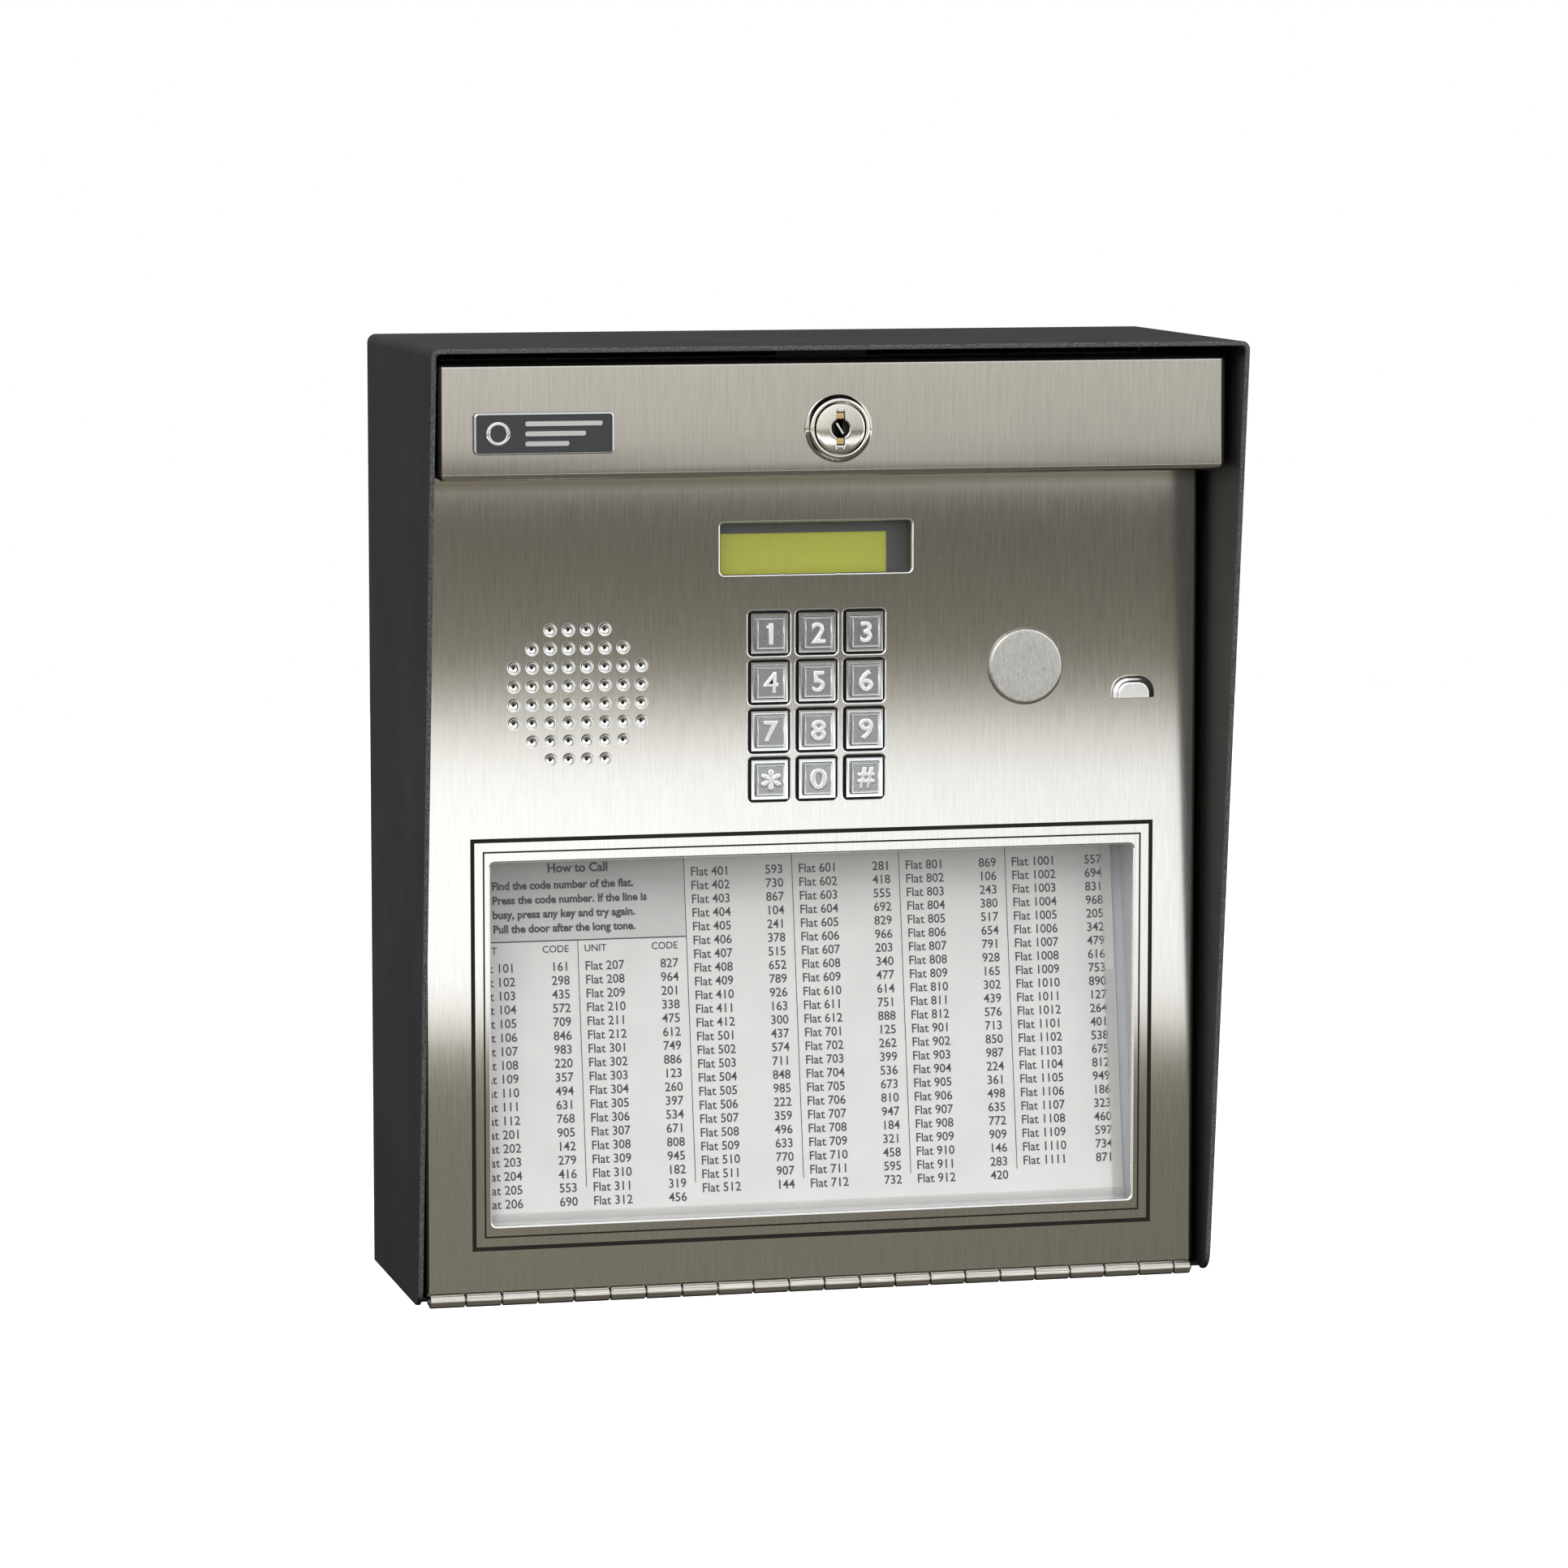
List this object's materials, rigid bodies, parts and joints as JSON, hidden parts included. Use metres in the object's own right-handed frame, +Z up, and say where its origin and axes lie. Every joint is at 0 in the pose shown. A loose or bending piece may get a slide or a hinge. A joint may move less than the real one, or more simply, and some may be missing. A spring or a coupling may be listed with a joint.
{
  "type": "door intercom panel",
  "caption": "Surface-mounted door intercom panel: black hooded steel housing with a hinged stainless door carrying speaker grille, display, keypad, microphone, directory window and cam lock.",
  "frame": {"origin": "centre of the back plate's wall face", "axes": "+Z up, -Y out of the wall towards the visitor, +X to the visitor's right"},
  "size_m": [0.283, 0.1273, 0.331],
  "materials": {
    "black_powder_coat": "fine textured black powder coat",
    "brushed_stainless": "vertical satin grain",
    "bright_steel": "bright zinc-plated steel",
    "satin_steel": "satin, lightly scratched",
    "key_chrome": "bright chrome plate",
    "polished_nickel": "polished nickel",
    "badge_charcoal": "satin charcoal with a bare raised mark",
    "clear_window": "clear acrylic",
    "display_bezel": "satin black",
    "display_green": "yellow-green liquid crystal panel",
    "circuit_board": "green solder mask",
    "black_rubber": "matt",
    "foam": "matt closed-cell foam",
    "speaker_paper": "pressed paper",
    "dark_plastic": "moulded",
    "card_stock": "matt printed card",
    "tray_paint": "light grey paint",
    "terminal_green": "moulded"
  },
  "bodies": {
    "housing": {"housing_wrap": "black_powder_coat", "back_plate": "black_powder_coat", "latch_bracket": "bright_steel", "cable_grommet": "black_rubber", "hinge_body_leaf": "brushed_stainless", "hinge_pin": "bright_steel", "main_board": "circuit_board", "board_standoff_1": "bright_steel", "board_standoff_2": "bright_steel", "board_standoff_3": "bright_steel", "board_standoff_4": "bright_steel", "terminal_block": "terminal_green", "relay_1": "dark_plastic", "relay_2": "dark_plastic", "processor_chip": "dark_plastic"},
    "door": {"hinge_door_leaf": "brushed_stainless", "door_face": "brushed_stainless", "lock_strip": "brushed_stainless", "badge_plate": "badge_charcoal", "lock_body": "polished_nickel", "lock_nut": "bright_steel", "display_window": "clear_window", "lcd_bezel": "display_bezel", "lcd_glass": "display_green", "lcd_board": "circuit_board", "keypad_frame": "dark_plastic", "keypad_mat": "black_rubber", "keypad_board": "circuit_board", "speaker_baffle": "bright_steel", "speaker_gasket": "foam", "speaker_frame": "bright_steel", "speaker_cone": "speaker_paper", "speaker_magnet": "dark_plastic", "blanking_disc": "satin_steel", "disc_nut": "bright_steel", "mic_boot": "black_rubber", "microphone": "bright_steel", "directory_window": "clear_window", "directory_tray": "tray_paint", "directory_card": "card_stock"},
    "lock_cylinder": {"lock_plug": "polished_nickel", "lock_cam": "bright_steel", "cam_screw": "bright_steel"},
    "key_1": {"key_1": "key_chrome"},
    "key_2": {"key_2": "key_chrome"},
    "key_3": {"key_3": "key_chrome"},
    "key_4": {"key_4": "key_chrome"},
    "key_5": {"key_5": "key_chrome"},
    "key_6": {"key_6": "key_chrome"},
    "key_7": {"key_7": "key_chrome"},
    "key_8": {"key_8": "key_chrome"},
    "key_9": {"key_9": "key_chrome"},
    "key_star": {"key_star": "key_chrome"},
    "key_0": {"key_0": "key_chrome"},
    "key_hash": {"key_hash": "key_chrome"}
  },
  "joints": [
    {"name": "door_hinge", "type": "hinge", "parent": "housing", "child": "door", "pos_m": [0, -0.0816, -0.164], "axis": [1, 0, 0], "range_deg": [0, 175]},
    {"name": "lock_turn", "type": "hinge", "parent": "door", "child": "lock_cylinder", "pos_m": [0, -0.1141, 0.1361], "axis": [0, 1, 0], "range_deg": [0, 90]},
    {"name": "press_1", "type": "slide", "parent": "door", "child": "key_1", "axis": [0, 1, 0], "range_m": [0, 0.0012], "stiffness_N_per_m": 300, "springref_m": -0.001},
    {"name": "press_2", "type": "slide", "parent": "door", "child": "key_2", "axis": [0, 1, 0], "range_m": [0, 0.0012], "stiffness_N_per_m": 300, "springref_m": -0.001},
    {"name": "press_3", "type": "slide", "parent": "door", "child": "key_3", "axis": [0, 1, 0], "range_m": [0, 0.0012], "stiffness_N_per_m": 300, "springref_m": -0.001},
    {"name": "press_4", "type": "slide", "parent": "door", "child": "key_4", "axis": [0, 1, 0], "range_m": [0, 0.0012], "stiffness_N_per_m": 300, "springref_m": -0.001},
    {"name": "press_5", "type": "slide", "parent": "door", "child": "key_5", "axis": [0, 1, 0], "range_m": [0, 0.0012], "stiffness_N_per_m": 300, "springref_m": -0.001},
    {"name": "press_6", "type": "slide", "parent": "door", "child": "key_6", "axis": [0, 1, 0], "range_m": [0, 0.0012], "stiffness_N_per_m": 300, "springref_m": -0.001},
    {"name": "press_7", "type": "slide", "parent": "door", "child": "key_7", "axis": [0, 1, 0], "range_m": [0, 0.0012], "stiffness_N_per_m": 300, "springref_m": -0.001},
    {"name": "press_8", "type": "slide", "parent": "door", "child": "key_8", "axis": [0, 1, 0], "range_m": [0, 0.0012], "stiffness_N_per_m": 300, "springref_m": -0.001},
    {"name": "press_9", "type": "slide", "parent": "door", "child": "key_9", "axis": [0, 1, 0], "range_m": [0, 0.0012], "stiffness_N_per_m": 300, "springref_m": -0.001},
    {"name": "press_star", "type": "slide", "parent": "door", "child": "key_star", "axis": [0, 1, 0], "range_m": [0, 0.0012], "stiffness_N_per_m": 300, "springref_m": -0.001},
    {"name": "press_0", "type": "slide", "parent": "door", "child": "key_0", "axis": [0, 1, 0], "range_m": [0, 0.0012], "stiffness_N_per_m": 300, "springref_m": -0.001},
    {"name": "press_hash", "type": "slide", "parent": "door", "child": "key_hash", "axis": [0, 1, 0], "range_m": [0, 0.0012], "stiffness_N_per_m": 300, "springref_m": -0.001}
  ]
}
